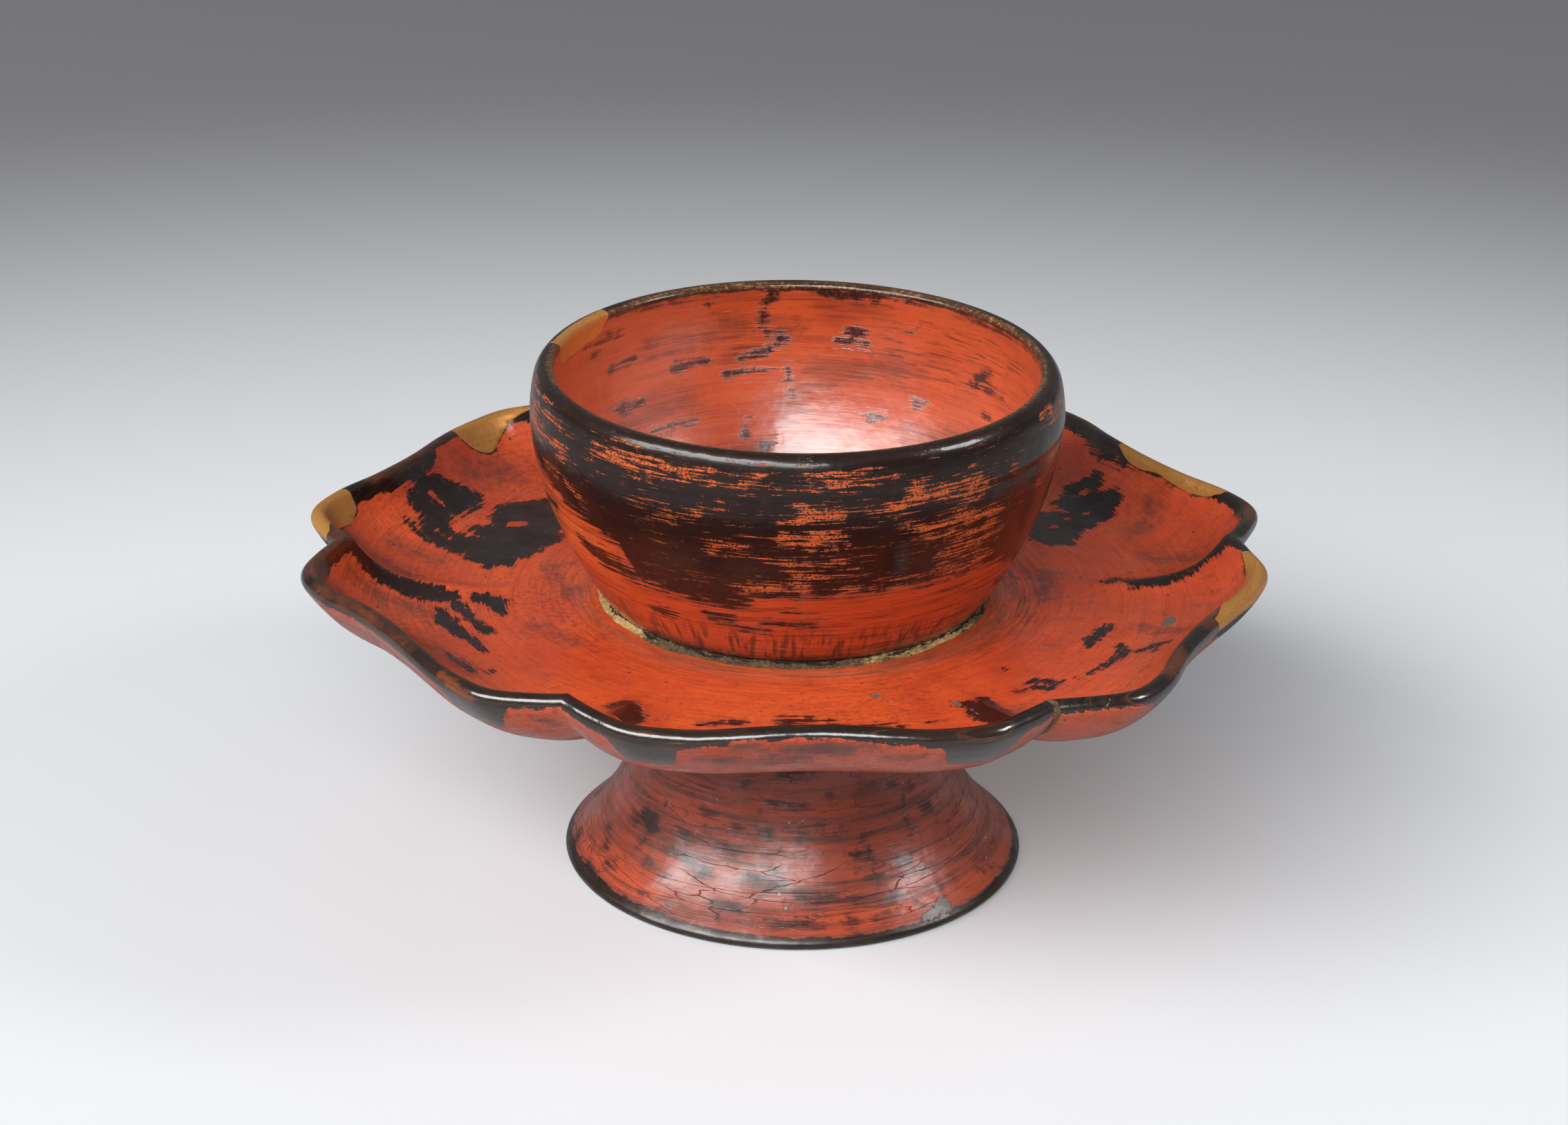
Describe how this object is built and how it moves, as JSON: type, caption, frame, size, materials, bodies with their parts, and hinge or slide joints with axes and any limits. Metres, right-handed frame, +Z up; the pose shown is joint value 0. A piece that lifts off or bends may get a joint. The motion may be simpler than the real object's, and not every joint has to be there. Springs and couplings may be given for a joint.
{
  "type": "lacquered cup stand",
  "caption": "Lacquered wooden cup stand: a turned open cup on a dished six-petalled flange on a hollow flared foot.",
  "frame": {"origin": "centre of the foot's base, on the surface it stands on", "axes": "+Z up along the turned axis, -Y towards the front petal, +X to the right"},
  "size_m": [0.1622, 0.1578, 0.0898],
  "materials": {
    "red_lacquer": "gloss red lacquer over black lacquer on wood, worn through in patches",
    "black_lacquer": "gloss black lacquer with red showing in streaks, on turned wood",
    "foot_lacquer": "satin dull red lacquer on turned wood",
    "gold": "gold powder burnished on lacquer putty",
    "putty": "dry cracked lacquer putty"
  },
  "bodies": {
    "root": {"cup": "black_lacquer", "flange": "red_lacquer", "foot": "foot_lacquer", "cup_putty_ring": "putty", "bedding_putty_ring": "putty", "gold_fill_left": "gold", "gold_fill_back_left": "gold", "gold_fill_back_right": "gold", "gold_fill_right": "gold", "gold_fill_cup_lip": "gold", "notch_putty": "putty"}
  },
  "joints": []
}
